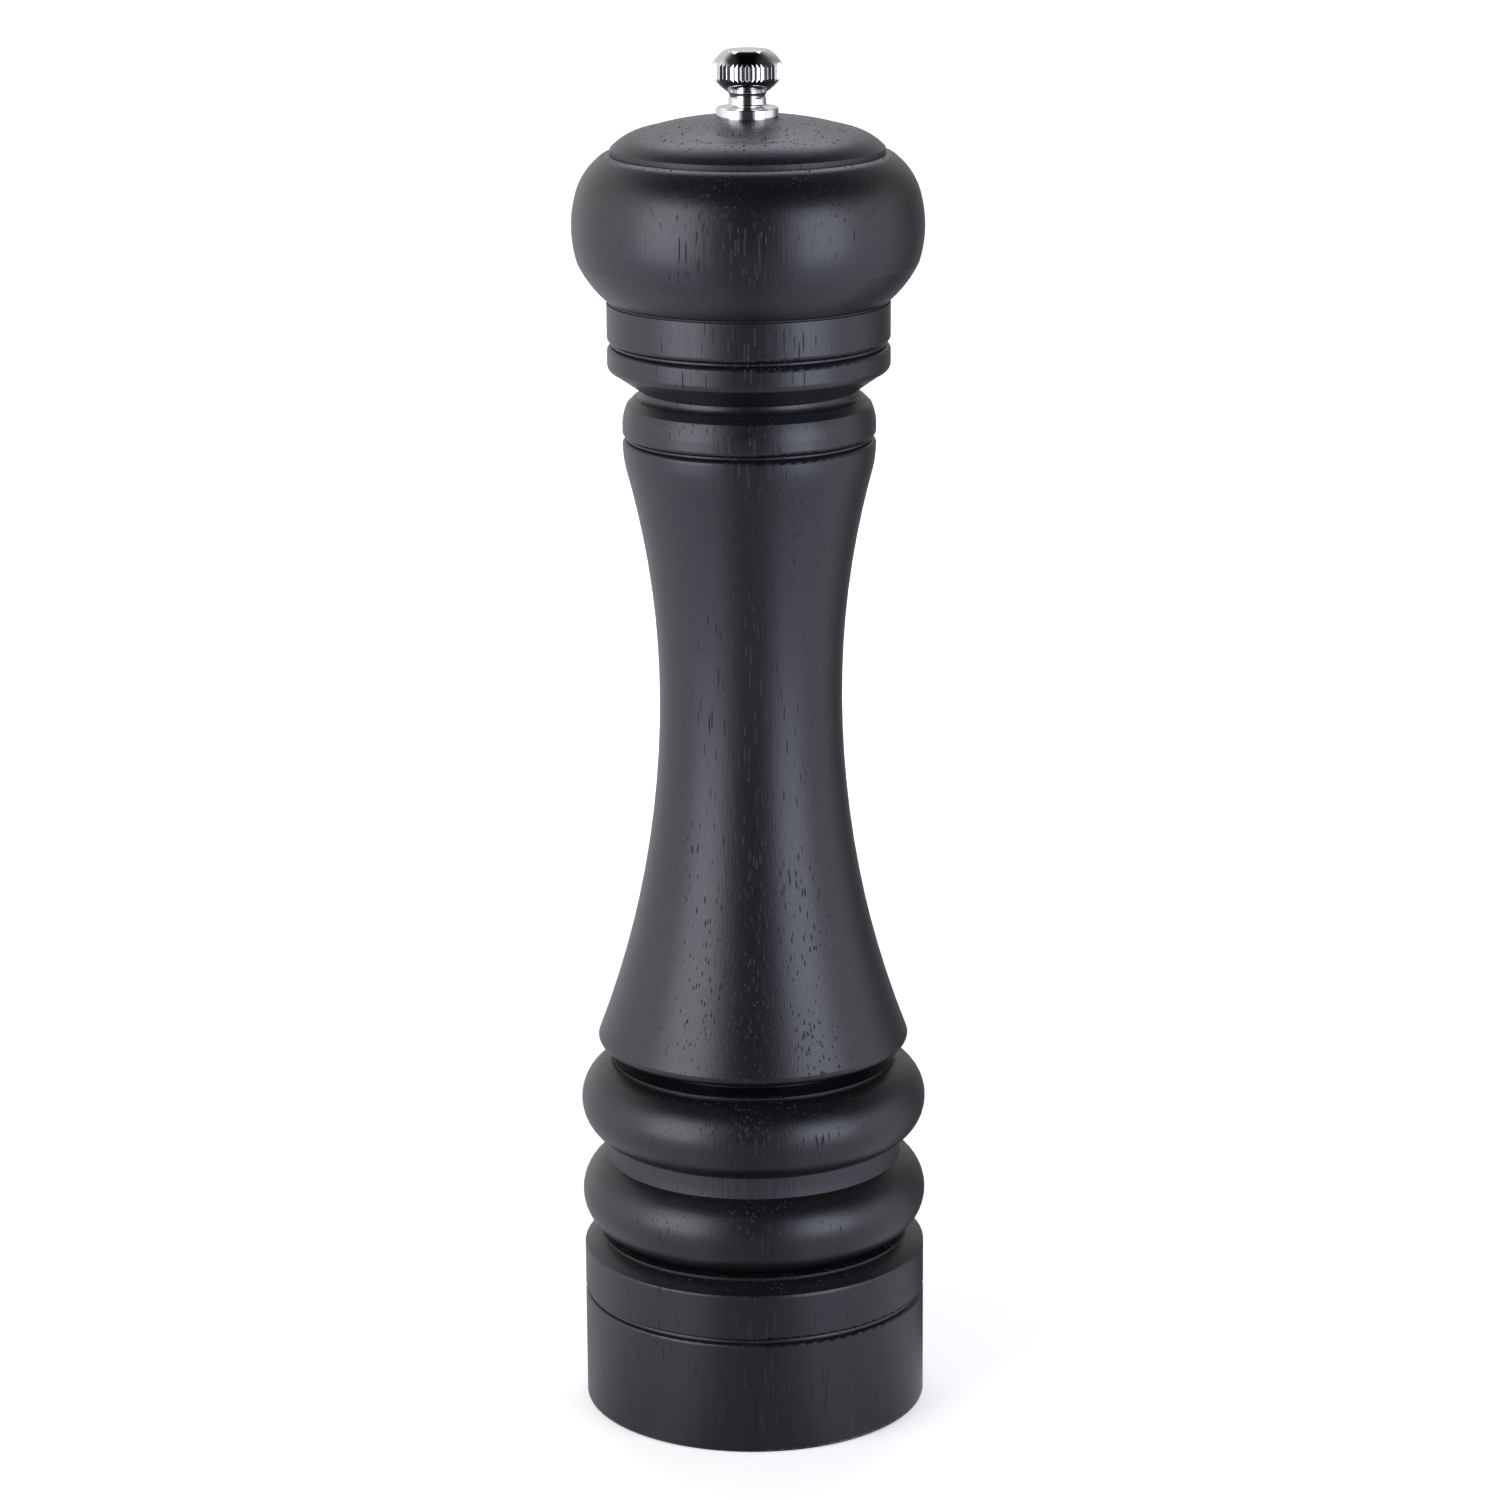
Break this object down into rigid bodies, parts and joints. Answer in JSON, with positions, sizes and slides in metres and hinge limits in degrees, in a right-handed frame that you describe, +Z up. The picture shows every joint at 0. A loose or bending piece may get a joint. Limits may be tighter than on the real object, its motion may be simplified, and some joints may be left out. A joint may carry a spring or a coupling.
{
  "type": "pepper mill",
  "caption": "Tall turned wooden pepper mill with a waisted body, round turning head, plated adjusting knob on top and a steel burr mechanism inside.",
  "frame": {"origin": "middle of the flat face that the mill stands on", "axes": "+Z up along the turning axis, towards the knob; +X and +Y level"},
  "size_m": [0.0632, 0.0632, 0.25],
  "materials": {
    "black_wood": "black stain under satin lacquer, open pores",
    "plated_metal": "polished plating",
    "steel": "drawn and stamped",
    "burr_steel": "hardened, dull",
    "nylon": "natural nylon",
    "brass": "turned"
  },
  "bodies": {
    "mill_body": {"body": "black_wood", "stator_burr": "burr_steel", "bridge": "steel", "bridge_rivets": "steel", "base_plate": "steel", "base_plate_screws": "steel"},
    "turning_bush": {"shaft_bush": "nylon", "spring_washer": "steel"},
    "head": {"head": "black_wood", "drive_plate": "steel", "drive_plate_screws": "steel", "head_bush": "brass"},
    "knob_seat": {"knob_washer": "nylon"},
    "knob": {"adjusting_knob": "plated_metal", "knob_lock_ring": "nylon"},
    "spindle": {"shaft": "steel", "rotor_burr": "burr_steel", "rotor_washer": "steel", "rotor_clip": "steel", "spring": "steel"}
  },
  "joints": [
    {"name": "head_turn", "type": "hinge", "parent": "mill_body", "child": "turning_bush", "pos_m": [0, 0, 0.0267], "axis": [0, 0, 1], "continuous": true},
    {"name": "head_lift", "type": "slide", "parent": "turning_bush", "child": "head", "axis": [0, 0, 1], "range_m": [0, 0.06]},
    {"name": "knob_lift", "type": "slide", "parent": "head", "child": "knob_seat", "axis": [0, 0, 1], "range_m": [0, 0.012]},
    {"name": "knob_turn", "type": "hinge", "parent": "knob_seat", "child": "knob", "pos_m": [0, 0, 0.238], "axis": [0, 0, 1], "range_deg": [0, 720.5]},
    {"name": "grind_adjust", "type": "slide", "parent": "turning_bush", "child": "spindle", "axis": [0, 0, -1], "range_m": [0, 0.0014], "deforming": ["spring"]}
  ],
  "couplings": [
    {"joint": "knob_turn", "follows": "grind_adjust", "rad_per_m": 8976}
  ]
}
